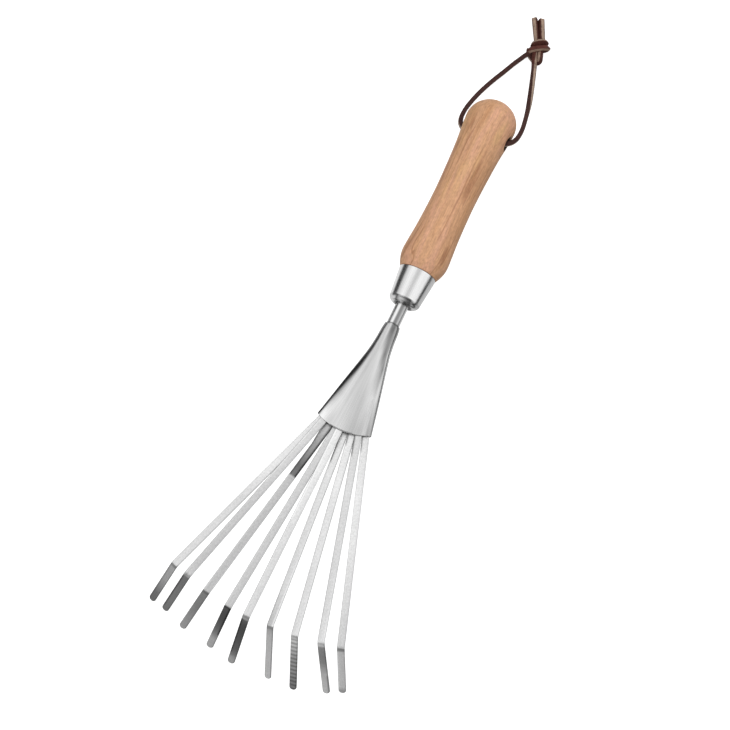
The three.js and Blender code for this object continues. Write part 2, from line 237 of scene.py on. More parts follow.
def leather_material(name, dark, raw):
    """Square-cut thong: V runs round it, with the grain side at V 0 and the raw cut sides at 0.25 and 0.75.

    Where the mesh's tone is 0 it is rubbed: redder on the grain side and dirtier on the raw sides.
    """
    material, n = new_material(name)
    uv = n.add("UVMap").outputs[0]
    place = n.add("TexCoord").outputs["Object"]
    round_it = n.add("SeparateXYZ", {0: uv}).outputs[1]
    ragged = n.math("MULTIPLY_ADD", n.noise(place, 900, (1, 1, 1)), 0.07, -0.035)
    side = n.math("ADD", round_it, ragged)
    half_turn = n.math("FRACT", n.math("ADD", side, 0.5))
    from_grain = n.math("ABSOLUTE", n.math("SUBTRACT", half_turn, 0.5))
    raw_mask = n.ramp(from_grain, [(0.0, 0.0), (0.150, 0.0), (0.185, 1.0), (0.315, 1.0), (0.35, 0.1),
                                   (0.5, 0.15)], smooth=False)
    mottled = n.noise(place, 420, (1, 1, 1), detail=4.0, roughness=0.6)
    grain_colour = n.ramp(mottled, [(0.3, scaled(dark, 0.62)), (0.55, dark), (0.8, scaled(dark, 1.6))])
    raw_colour = n.ramp(mottled, [(0.28, scaled(raw, 0.55)), (0.5, raw), (0.78, scaled(raw, 1.25))])
    unworn = n.add("Attribute", attribute_name="tone").outputs["Fac"]
    grain_colour = n.mix(unworn, n.mix(1.0, grain_colour, RUBBED_GRAIN, "MULTIPLY"), grain_colour)
    raw_colour = n.mix(unworn, n.mix(1.0, raw_colour, RUBBED_RAW, "MULTIPLY"), raw_colour)
    colour = n.mix(raw_mask, grain_colour, raw_colour)
    pebble = n.add("TexVoronoi", {"Vector": place, "Scale": 1900.0}).outputs["Distance"]
    fuzz = n.noise(place, 2600, (1, 1, 1), detail=3.0)
    height = n.math("ADD", n.math("MULTIPLY", pebble, 0.5), fuzz)
    roughness = n.ramp(mottled, [(0.2, 0.48), (0.8, 0.68)])
    shader = n.add("BsdfPrincipled", {
        "Base Color": colour, "Roughness": roughness, "Specular IOR Level": 0.2,
        "Normal": n.bump(height, 0.5, 0.14)})
    finish_material(n, shader)
    return material


def floor_material():
    """A white sheet lit from below as well, so that shadows on it stay light."""
    material, n = new_material("pale_floor")
    speck = n.noise(n.add("TexCoord").outputs["Object"], 8, (1, 1, 1))
    colour = n.ramp(speck, [(0.3, 0.54), (0.7, 0.56)])
    shader = n.add("BsdfPrincipled", {
        "Base Color": colour, "Roughness": 0.9, "Specular IOR Level": 0.0,
        "Emission Color": (1, 1, 1, 1), "Emission Strength": 0.85})
    finish_material(n, shader)
    return material


WOOD = wood_material()
FERRULE_STEEL = steel_material("ferrule_steel", dark=0.80, light=0.92, roughness=0.17, along=25, across=150)
SHAFT_STEEL = steel_material("shaft_steel", dark=0.78, light=0.90, roughness=0.24, along=60, across=50)
SOCKET_STEEL = steel_material("socket_steel", dark=0.70, light=0.82, roughness=0.19, along=12, across=90,
                              bump=0.14)
TINE_STEEL = steel_material("tine_steel", dark=0.66, light=0.86, roughness=0.27, along=700, across=20)
LEATHER = leather_material("dark_leather", dark=(0.050, 0.020, 0.016), raw=(0.365, 0.265, 0.202))

# ------------------------------------------------------------------ mesh helpers


def smooth_line(points, step):
    """A centripetal Catmull-Rom curve through points of any dimension, sampled about every step."""
    points = [Vector(p) for p in points]
    first = points[0] * 2 - points[1]
    last = points[-1] * 2 - points[-2]
    padded = [first, *points, last]
    line = [points[0]]
    for p0, p1, p2, p3 in zip(padded, padded[1:], padded[2:], padded[3:]):
        t1 = math.sqrt((p1 - p0).length)
        t2 = t1 + math.sqrt((p2 - p1).length)
        t3 = t2 + math.sqrt((p3 - p2).length)
        count = max(1, round((p2 - p1).length / step))
        for i in range(1, count + 1):
            t = t1 + (t2 - t1) * i / count
            a1 = p0 * (t1 - t) / t1 + p1 * t / t1
            a2 = p1 * (t2 - t) / (t2 - t1) + p2 * (t - t1) / (t2 - t1)
            a3 = p2 * (t3 - t) / (t3 - t2) + p3 * (t - t2) / (t3 - t2)
            b1 = a1 * (t2 - t) / t2 + a2 * t / t2
            b2 = a2 * (t3 - t) / (t3 - t1) + a3 * (t - t1) / (t3 - t1)
            line.append(b1 * (t2 - t) / (t2 - t1) + b2 * (t - t1) / (t2 - t1))
    return line


def interpolate(table, x):
    """y at x on the straight lines through (x, y) rows that rise or fall in x."""
    rows = sorted(table)
    if x <= rows[0][0]:
        return rows[0][1]
    for (x0, y0), (x1, y1) in zip(rows, rows[1:]):
        if x <= x1:
            return y0 + (y1 - y0) * (x - x0) / (x1 - x0)
    return rows[-1][1]


def skin(name, rings, material, caps=True, closed_ends=False, tones=None, sharp=32):
    """A closed mesh through rings of points in mm. U is metres along it, V from 0 to 1 round it."""
    columns = len(rings[0])
    centres = [sum(ring, Vector((0, 0, 0))) / columns for ring in rings]
    along = [0.0]
    for before, after, c0, c1 in zip(rings, rings[1:], centres, centres[1:]):
        along.append(along[-1] + max((c1 - c0).length, (after[0] - before[0]).length) * MM)
    verts = [point * MM for ring in rings for point in ring]
    faces = []
    uvs = []
    spans = len(rings) if closed_ends else len(rings) - 1
    for i in range(spans):
        after = (i + 1) % len(rings)
        u0 = along[i]
        u1 = u0 + MM if after == 0 else along[after]
        for j in range(columns):
            k = (j + 1) % columns
            faces.append((i * columns + j, i * columns + k, after * columns + k, after * columns + j))
            v0, v1 = j / columns, (j + 1) / columns
            uvs += [(u0, v0), (u0, v1), (u1, v1), (u1, v0)]
    if caps and not closed_ends:
        for i in (0, len(rings) - 1):
            faces.append(tuple(range(i * columns, (i + 1) * columns)))
            uvs += [(along[i], j / columns) for j in range(columns)]
    mesh = bpy.data.meshes.new(name)
    mesh.from_pydata(verts, [], faces)
    layer = mesh.uv_layers.new(name="UVMap")
    layer.uv.foreach_set("vector", [c for uv in uvs for c in uv])
    tone = mesh.color_attributes.new("tone", "FLOAT_COLOR", "POINT")
    for i in range(len(rings)):
        for j in range(columns):
            value = tones(i, j) if tones else 1.0
            tone.data[i * columns + j].color = (value, value, value, 1)
    tidy_mesh(mesh, sharp)
    mesh.materials.append(material)
    piece = bpy.data.objects.new(name, mesh)
    bpy.context.scene.collection.objects.link(piece)
    return piece


def tidy_mesh(mesh, sharp):
    """Joins points that coincide, turns the faces outward and shades them smooth up to an angle."""
    made = bmesh.new()
    made.from_mesh(mesh)
    bmesh.ops.remove_doubles(made, verts=made.verts, dist=1e-6)
    bmesh.ops.recalc_face_normals(made, faces=made.faces)
    made.to_mesh(mesh)
    made.free()
    mesh.shade_smooth()
    mesh.set_sharp_from_angle(angle=math.radians(sharp))


def turned(name, profile, segments, material, tones=None, sharp=32):
    """A closed body of revolution about the long axis, from (radius, y) pairs in mm."""
    rings = []
    for radius, y in profile:
        ring = []
        for j in range(segments):
            turn = 2 * math.pi * j / segments
            ring.append(Vector((radius * math.sin(turn), y, AXIS_HEIGHT + radius * math.cos(turn))))
        rings.append(ring)
    return skin(name, rings, material, caps=False, closed_ends=profile[0][0] > 0, tones=tones, sharp=sharp)


def arc(centre, radius, start, end, steps):
    """Points on an arc in the plane of (radius, y), angles in degrees."""
    points = []
    for i in range(steps + 1):
        turn = math.radians(start + (end - start) * i / steps)
        points.append((centre[0] + radius * math.cos(turn), centre[1] + radius * math.sin(turn)))
    return points


def apply_modifiers(piece):
    graph = bpy.context.evaluated_depsgraph_get()
    made = bpy.data.meshes.new_from_object(piece.evaluated_get(graph))
    old = piece.data
    piece.modifiers.clear()
    piece.data = made
    bpy.data.meshes.remove(old)


def place(piece, body, slot, *nodes):
    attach(piece, body)
    if nodes:
        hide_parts(*nodes)


# ------------------------------------------------------------------ thong

CORD_RADIUS = 1.7
# The routes of the two strands in mm, the CAD model's own, out of each end of the cross hole.
LEFT_ARM = [
    (-0.15, 182.7, 18.3), (-6, 182.7, 18.3), (-11, 182.9, 18.3), (-14.6, 183.6, 18.3), (-17.6, 185.2, 18.1),
    (-20, 187.7, 17.6), (-21.4, 191.4, 16.8), (-22, 196, 15.4), (-22.2, 201.7, 13.3), (-21.8, 208.3, 10.6),
    (-21, 215, 8), (-19.7, 221.8, 5.7), (-17.8, 228.9, 3.8), (-15, 236.4, 2.7), (-11.4, 244.3, 2.2),
    (-7.9, 252, 2.2), (-5, 257, 2.8), (-2.2, 261.2, 3.8), (0.6, 264.4, 4.6),
]
RIGHT_ARM = [
    (0.15, 182.7, 18.3), (6, 182.7, 18.3), (11, 182.9, 18.3), (14.6, 183.6, 18.3), (17.6, 185.2, 18.2),
    (20, 187.7, 17.9), (21.4, 191.1, 17.4), (21.8, 195.5, 16.4), (21.5, 200.6, 14.9), (20.5, 206.5, 12.6),
    (19.1, 212.8, 9.8), (17.5, 219.8, 7), (15.6, 227.2, 4.7), (13.3, 235.2, 3.1), (10.9, 243.2, 2.5),
    (9, 249.5, 2.9), (7.6, 254, 3.9), (6.2, 257.8, 5), (5, 261, 6), (4, 264, 6.2),
]
LEFT_TAIL = [
    (1.9, 272.4, 6), (0.3, 275.6, 5.4), (-1.6, 279.4, 4.3), (-4, 284.1, 3.2), (-6.3, 288.6, 2.4),
    (-8.3, 292.3, 2.15),
]
RIGHT_TAIL = [
    (5.2, 274.3, 6), (3.4, 277.9, 5.3), (1.7, 281.8, 4.3), (-0.1, 285.7, 3.2), (-1.8, 289.6, 2.4),
    (-3.5, 293.2, 2.15),
]
KNOT_CENTRE = Vector((5.2, 267.4, 0))
KNOT_ACROSS = Vector((0.877, 0.480, 0))
KNOT_ALONG = Vector((-0.480, 0.877, 0))


def in_knot(across, along, height):
    """A point of the knot: across and along the tails from its centre, and the height over the floor."""
    return KNOT_CENTRE + KNOT_ACROSS * across + KNOT_ALONG * along + Vector((0, 0, height))


def thong_section():
    """A square with well-rounded corners, starting in the middle of the grain side."""
    section = []
    sides = 24
    for j in range(sides):
        turn = 2 * math.pi * j / sides
        c, s = math.cos(turn), math.sin(turn)
        reach = 0.95 * CORD_RADIUS / (abs(c) ** 7 + abs(s) ** 7) ** (1 / 7)
        section.append((reach * c, reach * s))
    return section


def thong_piece(name, line, rolls, swell, unworn):
    """A thong along line, mm. Its grain side faces up, rolled by (fraction of the line, degrees) pairs.

    swell and unworn are (fraction, value) pairs too: its width, and how little it is rubbed.
    """
    last = len(line) - 1
    tangents = [(line[min(i + 1, last)] - line[max(i - 1, 0)]).normalized() for i in range(last + 1)]
    section = thong_section()
    rings = []
    for i, (point, tangent) in enumerate(zip(line, tangents)):
        up = Vector((0, 0, 1))
        up = (up - tangent * up.dot(tangent)).normalized()
        out = Matrix.Rotation(math.radians(interpolate(rolls, i / last)), 3, tangent) @ up
        side = tangent.cross(out)
        wide = interpolate(swell, i / last)
        rings.append([point + (out * a + side * b) * wide for a, b in section])
    rings = cut_end(rings, tangents[0], -1) + rings[1:-1] + cut_end(rings, tangents[-1], 1)
    return skin(name, rings, LEATHER, sharp=50, tones=lambda i, j: interpolate(unworn, i / len(rings)))


def cut_end(rings, tangent, way):
    """The last ring of a cut end, way 1, or the first, way -1, with its edge a little rounded."""
    ring = rings[-1] if way == 1 else rings[0]
    centre = sum(ring, Vector((0, 0, 0))) / len(ring)
    rounded = [ring]
    for inset, reach in ((0.06, 0.12), (0.2, 0.2)):
        rounded.append([p + (centre - p) * inset + tangent * way * reach for p in ring])
    return rounded if way == 1 else rounded[::-1]


def ring_line(across, along, height, half_width, half_height, tilt, pitch):
    """A closed wrap about the knot's core. tilt moves its +across end along the tails, pitch its top."""
    line = []
    steps = 44
    for i in range(steps):
        turn = 2 * math.pi * i / steps
        s, c = math.sin(turn), math.cos(turn)
        line.append(in_knot(across + half_width * s, along + tilt * s + pitch * c, height + half_height * c))
    return line


def wrap_piece(name, line, lean, widen, unworn):
    """A closed wrap whose grain side faces out, leaning lean degrees along the tails, pressed wider."""
    centre = sum(line, Vector((0, 0, 0))) / len(line)
    section = thong_section()
    rings = []
    for i, point in enumerate(line):
        tangent = (line[(i + 1) % len(line)] - line[i - 1]).normalized()
        out = point - centre
        out = (out - tangent * out.dot(tangent)).normalized()
        out = Matrix.Rotation(math.radians(lean), 3, tangent) @ out
        side = tangent.cross(out)
        rings.append([point + out * a * 0.95 + side * b * widen for a, b in section])
    return skin(name, rings, LEATHER, closed_ends=True, sharp=50, tones=lambda i, j: unworn)


# (fraction of the strand, degrees) pairs: how far its grain side is rolled from facing up.
LEFT_ROLLS = [(0, 0), (0.1, 17), (0.74, 17), (0.8, 0), (0.86, 68), (1, 72)]
RIGHT_ROLLS = [(0, 0), (0.1, 9), (0.36, 9), (0.52, -40), (0.70, -62), (0.8, -20), (0.86, -60), (1, -64)]
TURN_ROLLS = [(0, -60), (0.35, -60), (0.55, 0), (1, 0)]
# (fraction, value) pairs: the width of each piece, and how little it is rubbed.
TAIL_SWELL = [(0, 1), (0.84, 1), (0.88, 1.16), (1, 1.22)]
TURN_SWELL = [(0, 1), (0.5, 1.1), (1, 1.15)]
LEFT_UNWORN = [(0, 1), (0.78, 1), (0.85, 0.6), (1, 0.75)]
RIGHT_UNWORN = [(0, 1), (0.66, 1), (0.7, 0.5), (0.85, 0.6), (1, 0.75)]
TURN_UNWORN = [(0, 0.2), (0.5, 0.9), (1, 0.9)]
# The turn below the knot, as (across, along, height) from the knot's centre, mm.
TURN_POINTS = [
    (0.8, 1.0, 6.0), (1.2, -2.5, 6.2), (0.7, -5.8, 5.9), (0.1, -7.8, 4.6), (-1.0, -8.5, 2.9),
    (-2.8, -7.2, 2.2), (-4.6, -4.6, 2.3), (-6.0, -2.4, 3.1), (-6.9, -0.2, 4.8), (-6.3, 1.6, 6.4),
]


def make_thong():
    left_line = smooth_line(LEFT_ARM + [in_knot(-2.4, 2.0, 4.9)] + LEFT_TAIL, 1.0)
    right_line = smooth_line(RIGHT_ARM + [in_knot(-0.8, 1.2, 5.1)] + RIGHT_TAIL, 1.0)
    turn_line = smooth_line([in_knot(*p) for p in TURN_POINTS], 0.8)
    left = thong_piece("thong_left_strand", left_line, LEFT_ROLLS, TAIL_SWELL, LEFT_UNWORN)
    right = thong_piece("thong_right_strand", right_line, RIGHT_ROLLS, TAIL_SWELL, RIGHT_UNWORN)
    upper_line = ring_line(1.3, 4.7, 5.5, 4.5, 3.35, tilt=0.2, pitch=0)
    lower_line = ring_line(0.3, 0.7, 5.5, 6.5, 3.35, tilt=0.1, pitch=-0.9)
    upper = wrap_piece("thong_knot_upper_wrap", upper_line, lean=62, widen=1.2, unworn=0.5)
    lower = wrap_piece("thong_knot_lower_wrap", lower_line, lean=-38, widen=1.2, unworn=0.35)
    turn = thong_piece("thong_knot_turn", turn_line, TURN_ROLLS, TURN_SWELL, TURN_UNWORN)
    place(left, LOOP, "leather", "thong_left_arm", "thong_left_tail")
    place(right, LOOP, "leather", "thong_right_arm", "thong_right_tail")
    place(upper, LOOP, "leather", "thong_knot")
    place(lower, LOOP, "leather")
    place(turn, LOOP, "leather")


make_thong()

# ------------------------------------------------------------------ handle, ferrule and shaft

BUTT_Y = 211.1
DOME_DEPTH = 16.9
BULB_RADIUS = 18.3
SHOULDER_Y = 72
HOLE_RADIUS = 3.5
FERRULE_END_Y = 47.4
FERRULE_RADIUS = 13.3  # at its big end, mm
FERRULE_SMALL_RADIUS = 11.2
FERRULE_WALL = 0.9
NOSE_RADIUS = 4.5  # of the rounding at its small end, mm
LIP_RADIUS = 0.3
DISH_DEPTH = 2.2
SHAFT_HOLE_RADIUS = 4.8
SHAFT_RADIUS = 4.5


# The handle's side from the ferrule to the bulb, and its spigot in the ferrule, as (radius, y), mm.
HANDLE_SIDE = [(13.3, 72.3), (14.9, 75.6), (16.4, 80.2), (16.85, 84.5), (16.4, 92.8), (15.6, 104),
               (14.85, 130), (15.5, 155), (16.6, 174), (17.8, 185.5), (BULB_RADIUS, BUTT_Y - DOME_DEPTH)]
SPIGOT = [(0, 51.3), (9.3, 51.3), (11.5, 72.2)]
# Where the cross hole starts to flare, and the stations of its flare, from the middle of the handle, mm.
FLARE_START = 14.8
FLARE_STATIONS = (14.8, 15.4, 16, 16.6, 17.2, 17.6)


def bore_cutter():
    """The cross hole's shape along X, flared at both ends."""
    flare = [(HOLE_RADIUS + 0.42 * (x - FLARE_START) ** 2, x) for x in FLARE_STATIONS]
    beyond_the_wood = [(8.4, 18.9), (10.5, 24)]
    half = [(HOLE_RADIUS, 0)] + flare + beyond_the_wood
    profile = [(0, -24)] + [(r, -x) for r, x in half[:0:-1]] + half + [(0, 24)]
    turns = [2 * math.pi * j / 48 for j in range(48)]
    rings = [[Vector((x, HOLE_Y + r * math.cos(a), AXIS_HEIGHT + r * math.sin(a))) for a in turns]
             for r, x in profile]
    return skin("bore_cutter", rings, WOOD, caps=False)


def make_handle():
    bulb_y = BUTT_Y - DOME_DEPTH
    side = [tuple(p) for p in smooth_line(HANDLE_SIDE, 1.2)]
    dome = [(r, bulb_y + (y - bulb_y) * DOME_DEPTH / BULB_RADIUS) for r, y in
            arc((0, bulb_y), BULB_RADIUS, 3, 90, 26)]
    dome[-1] = (0, BUTT_Y)
    handle = turned("wood_handle", SPIGOT + side + dome, 160, WOOD)
    cutter = bore_cutter()
    modifier = handle.modifiers.new("cross_hole", "BOOLEAN")
    modifier.operation = "DIFFERENCE"
    modifier.solver = "EXACT"
    modifier.object = cutter
    apply_modifiers(handle)
    bpy.data.objects.remove(cutter)
    handle.data.shade_smooth()
    handle.data.set_sharp_from_angle(angle=math.radians(35))
    place(handle, RAKE, "wood", "handle")


# Painted shadow and painted reflections on the ferrule's rounded end beside the bar, as tone by the place
# across it in mm.
NOSE_SHADOW = [(-11, 0.75), (-5.8, 0.8), (-5, 0.5), (-4.2, 0.1), (-3.2, 0.4), (-1.5, 0.65), (0.5, 0.6),
               (2.5, 0.35), (4, 0.2), (5.6, 0.1), (6.6, 0.5), (8, 0.78), (11, 0.72)]


def make_ferrule():
    segments = 128
    nose = (FERRULE_SMALL_RADIUS - NOSE_RADIUS, FERRULE_END_Y + NOSE_RADIUS)
    dish_y = FERRULE_END_Y + DISH_DEPTH
    outside = arc((FERRULE_RADIUS - LIP_RADIUS, SHOULDER_Y - LIP_RADIUS), LIP_RADIUS, 90, 0, 5)
    outside += arc(nose, NOSE_RADIUS, 0, -90, 16)
    inside = [(SHAFT_HOLE_RADIUS + 0.6, dish_y - 0.3), (SHAFT_HOLE_RADIUS, dish_y),
              (SHAFT_HOLE_RADIUS, dish_y + FERRULE_WALL)]
    inside += arc(nose, NOSE_RADIUS - FERRULE_WALL, -90, 0, 8)
    inside += [(FERRULE_RADIUS - FERRULE_WALL, SHOULDER_Y)]
    profile = outside + inside

    # Painted shade round the bar's hole, NOSE_SHADOW's painted shadow and reflections on the rounded end's
    # outside, 1 elsewhere.
    def tone(i, j):
        radius, y = profile[i]
        if radius < SHAFT_HOLE_RADIUS + 1:
            return 0.1
        if y > nose[1] - 1.2 or i >= len(outside):
            return 1.0
        return interpolate(NOSE_SHADOW, radius * math.sin(2 * math.pi * j / segments))

    ferrule = turned("steel_ferrule", profile, segments, FERRULE_STEEL, tones=tone, sharp=40)
    place(ferrule, RAKE, "ferrule_steel", "ferrule")


# Painted reflections: light and dark bands along the bar, from its left edge, -1, to its right edge, 1.
SHAFT_PAINTED_REFLECTIONS = [(-1, 0.45), (-0.8, 0.45), (-0.66, 1.2), (-0.15, 1.25), (0, 0.95), (0.15, 0.45), (0.45, 0.32),
                 (0.7, 0.7), (1, 1.3)]
# The bar is dark where it comes out of the socket and goes into the ferrule, by y in mm.
SHAFT_SHADOW = [(31.9, 0.12), (33, 1), (48.6, 1), (49.4, 0.1)]
SHAFT_STATIONS = (28, 30, 31.4, 31.9, 33, 36, 40, 44, 47, 48.6, 49.4, 52, 55.9)
TANG = [(2.9, 56.9), (2.9, 116), (0.8, 128), (0, 128)]


def make_shaft():
    segments = 64
    profile = [(0, 24), (SHAFT_RADIUS - 0.5, 24), (SHAFT_RADIUS, 24.5)]
    profile += [(SHAFT_RADIUS, y) for y in SHAFT_STATIONS] + TANG

    # Painted reflections across the bar, times the painted shadow where it meets the socket and the ferrule.
    def tone(i, j):
        painted_reflection = interpolate(SHAFT_PAINTED_REFLECTIONS, math.sin(2 * math.pi * j / segments))
        return painted_reflection * interpolate(SHAFT_SHADOW, profile[i][1])

    shaft = turned("steel_shaft", profile, segments, SHAFT_STEEL, tones=tone)
    place(shaft, RAKE, "shaft_steel", "shaft")


make_handle()
make_ferrule()
make_shaft()

# ------------------------------------------------------------------ socket

SOCKET_TOP_Y = 31.6
MOUTH_Y = -47.5  # where the mouth's width is taken, mm
MOUTH_ARC_RADIUS = 46
MOUTH_ARC_END_Y = -48.5
SOCKET_WALL = 0.6
SOCKET_HALF_WIDTHS = [tuple(p) for p in smooth_line(
    [(31.6, 5.4), (28, 6), (19, 6.7), (11, 7.8), (2, 9.7), (-20, 14.7), (-45, 20.1), (-50, 21.1)], 2)]
# How the section changes from the round top, 0, to the flat mouth, 1. An edge with a low number slopes
# gently, one with a high number is tight.
SOCKET_LEFT_EDGE = [(0, 2.0), (0.2, 1.9), (0.45, 1.5), (0.75, 1.6), (0.93, 2.4), (1, 3.0)]
SOCKET_RIGHT_EDGE = [(0, 2.0), (0.2, 2.4), (0.5, 3.0), (1, 3.6)]
SOCKET_HALF_HEIGHTS = [(0, 5.4), (0.5, 5.0), (0.8, 4.4), (1, 3.8)]


def socket_point(part, turn, inset):
    """A point of the socket's wall: part runs 0 to 1 from its top to its mouth, turn goes round it."""
    c, s = math.cos(turn), math.sin(turn)
    squareness = interpolate(SOCKET_LEFT_EDGE if c < 0 else SOCKET_RIGHT_EDGE, part)
    reach = 1 / (abs(c) ** squareness + abs(s) ** squareness) ** (1 / squareness)
    wide, high = reach * c, reach * s
    x_mouth = interpolate(SOCKET_HALF_WIDTHS, MOUTH_Y) * wide
    end_y = MOUTH_ARC_END_Y + MOUTH_ARC_RADIUS - math.sqrt(MOUTH_ARC_RADIUS ** 2 - x_mouth ** 2)
    y = SOCKET_TOP_Y + (end_y - SOCKET_TOP_Y) * part
    half_width = interpolate(SOCKET_HALF_WIDTHS, y) - inset
    half_height = interpolate(SOCKET_HALF_HEIGHTS, part) - inset
    seam = 0.35 if s < -0.999 and part < 0.75 else 0
    return Vector((half_width * wide, y, AXIS_HEIGHT + half_height * high + seam))


# Painted reflections and painted shade along the pressed sheet, as tones at parts of its length, each from
# its left edge, -1, to its right, 1.
SOCKET_PAINTED_LIGHT = {
    0.05: [(-1, 0.3), (-0.86, 0.25), (-0.69, 0.85), (-0.52, 1.3), (-0.17, 0.78), (0, 0.95), (0.17, 0.5),
           (0.34, 0.33), (0.52, 0.22), (0.69, 0.5), (1, 0.7)],
    0.28: [(-1, 0.7), (-0.87, 0.34), (-0.76, 0.7), (-0.62, 1.18), (-0.5, 1.18), (-0.12, 0.74), (0.25, 1.1),
           (0.4, 1.0), (0.62, 0.31), (0.76, 0.41), (0.87, 1.0), (1, 1.0)],
    0.41: [(-1, 0.6), (-0.89, 0.36), (-0.79, 0.25), (-0.69, 0.37), (-0.59, 1.05), (-0.49, 1.25), (-0.2, 0.78),
           (0.1, 0.85), (0.35, 1.1), (0.6, 0.95), (0.79, 0.3), (0.89, 0.8), (1, 1.0)],
    0.67: [(-1, 0.6), (-0.92, 0.26), (-0.85, 0.27), (-0.78, 0.7), (-0.66, 1.0), (-0.51, 1.16), (-0.3, 0.84),
           (0, 0.8), (0.3, 0.8), (0.58, 1.16), (0.71, 1.3), (0.86, 1.05), (0.96, 0.55), (1, 0.8)],
    0.95: [(-1, 0.5), (-0.97, 0.25), (-0.91, 0.7), (-0.86, 1.5), (-0.7, 1.15), (-0.5, 0.86), (-0.1, 0.95),
           (0.3, 0.74), (0.65, 0.8), (0.75, 1.25), (0.87, 0.75), (0.96, 0.55), (1, 0.8)],
}


def socket_tone(part, across):
    """The sheet's painted reflections and shade, as tone at a part of its length and a place across it, -1 to
    1.
    """
    return interpolate([(at, interpolate(row, across)) for at, row in SOCKET_PAINTED_LIGHT.items()], part)


def make_socket():
    columns = 120
    rows = 70
    turns = [2 * math.pi * j / columns for j in range(columns)]
    outer = [[socket_point(i / rows, t, 0) for t in turns] for i in range(rows + 1)]
    inner = [[socket_point(i / rows, t, SOCKET_WALL) for t in turns] for i in range(rows + 1)]
    round_off = Vector((0, 0.18, 0))
    lip = [(a + b) / 2 - round_off for a, b in zip(outer[-1], inner[-1])]
    collar = [(a + b) / 2 + round_off for a, b in zip(outer[0], inner[0])]
    rings = [collar] + outer + [lip] + inner[::-1]

    def tone(i, j):
        # Painted shade on the rims at the collar and the lip, and a little on the lower half and the inside.
        if not 1 <= i <= rows + 1 or turns[j] > math.pi:
            return 0.15 if i in (0, rows + 2) else 0.9
        point = outer[i - 1][j]
        return socket_tone((i - 1) / rows, point.x / interpolate(SOCKET_HALF_WIDTHS, point.y))

    socket = skin("steel_socket", rings, SOCKET_STEEL, closed_ends=True, tones=tone, sharp=60)
    place(socket, RAKE, "socket_steel", "socket")


make_socket()

# ------------------------------------------------------------------ tines

ROOT_Y = -45  # where the tines' places across the mouth are taken, mm
LEVEL_PITCH = 1.7
BEND_HEIGHT = 2  # of the middle level's bends over the long axis, mm
BEND_PITCH = 1.2
TINE_HALF_WIDTH = 2.5
TINE_HALF_THICKNESS = 0.7
TINE_LENGTH = 136.5
BEND_RADIUS = 7
CORNER_RADIUS = 1.8
STRIP_STEPS = 48
BEND_STEPS = 14
TIP_STEPS = 48
# Each tine's lean in degrees, place across the mouth, level in the stack, extra length, tip length and the
# tip's sideways turn in degrees.
TINES = [
    (-19.2, -15.8, 0, -1.1, 33.8, 1),
    (-15.4, -13.3, 1, -1.9, 34.7, -5),
    (-10.5, -8.6, -1, 0.4, 33.3, -11),
    (-5.1, -3.7, 0, 1.1, 34, -5),
    (-0.4, -1.2, 1, 1.1, 36.5, -1),
    (5, 2, -1, 0.4, 35.5, 24),
    (10.1, 7, 0, 0.8, 37, 15),
    (15.6, 11.5, 1, 0.8, 35.4, 17.6),
    (19, 16.4, 0, 1, 32.1, 5),
]

# Painted reflections and painted shade: the steel's tone along each tine, as (distance from the mouth in mm,
# tone).
# The tips are painted darker.
TINE_PAINTED_LIGHT = [
    [(0, 1.05), (45, 1.15), (60, 1.1), (75, 1), (135, 1), (135.6, 0.4), (136.8, 0.4),
     (137.4, 0.52), (141, 0.48), (149, 0.46), (153, 0.39), (157, 0.31), (161, 0.22), (171, 0.2)],
    [(0, 0.98), (40, 0.97), (70, 0.89), (125, 0.86), (134.4, 0.96), (135.6, 0.57), (136.6, 0.22),
     (144, 0.21), (149, 0.24), (160, 0.24), (171, 0.21)],
    [(0, 0.82), (10, 0.7), (18, 0.5), (26, 0.42), (36, 0.24), (43.5, 0.28), (45, 0.8), (50, 0.86),
     (136.2, 0.95), (137, 0.4), (138, 0.31), (147, 0.29), (155, 0.33), (163, 0.4), (171, 0.45)],
    [(0, 0.95), (137.2, 0.92), (138, 0.125), (143, 0.1), (148, 0.105), (152, 0.14), (156, 0.19),
     (160, 0.27), (164, 0.5), (172, 0.5)],
    [(0, 1.2), (30, 1.2), (60, 1.12), (90, 1.07), (120, 1.02), (136.6, 1.05), (137.4, 0.6),
     (139.2, 0.5), (140.2, 0.16), (144, 0.11), (148, 0.1), (156, 0.123), (163, 0.16), (167, 0.25),
     (170, 0.45), (174, 0.45)],
    [(0, 1.15), (50, 1.05), (90, 1.13), (110, 1.25), (136.6, 1.25), (137.2, 0.45), (138.3, 0.35),
     (139.2, 0.5), (143, 0.62), (150, 0.64), (173, 0.64)],
    [(0, 1.2), (30, 1.15), (60, 1.08), (110, 1.08), (137, 1.15), (137.6, 0.68), (140.3, 0.6),
     (143.3, 0.54), (147.3, 0.45), (151.3, 0.34), (155, 0.3), (163, 0.275), (168, 0.2),
     (174, 0.18)],
    [(0, 1), (90, 1), (110, 1.08), (125, 1.13), (137, 1.2), (137.6, 0.68), (139.2, 0.62),
     (140.2, 0.31), (147, 0.25), (151, 0.29), (155, 0.4), (159, 0.51), (163, 0.57), (174, 0.59)],
    [(0, 1.08), (30, 1.15), (60, 1.15), (90, 1.08), (110, 0.98), (125, 0.9), (137.3, 0.9),
     (137.8, 0.42), (139, 0.42), (139.6, 0.78), (142, 0.82), (165, 0.82), (168, 0.5), (171, 0.45)],
]
# The columns of a strip's section that make its right and left edges.
RIGHT_EDGE = range(2, 11)
LEFT_EDGE = range(17, 25)
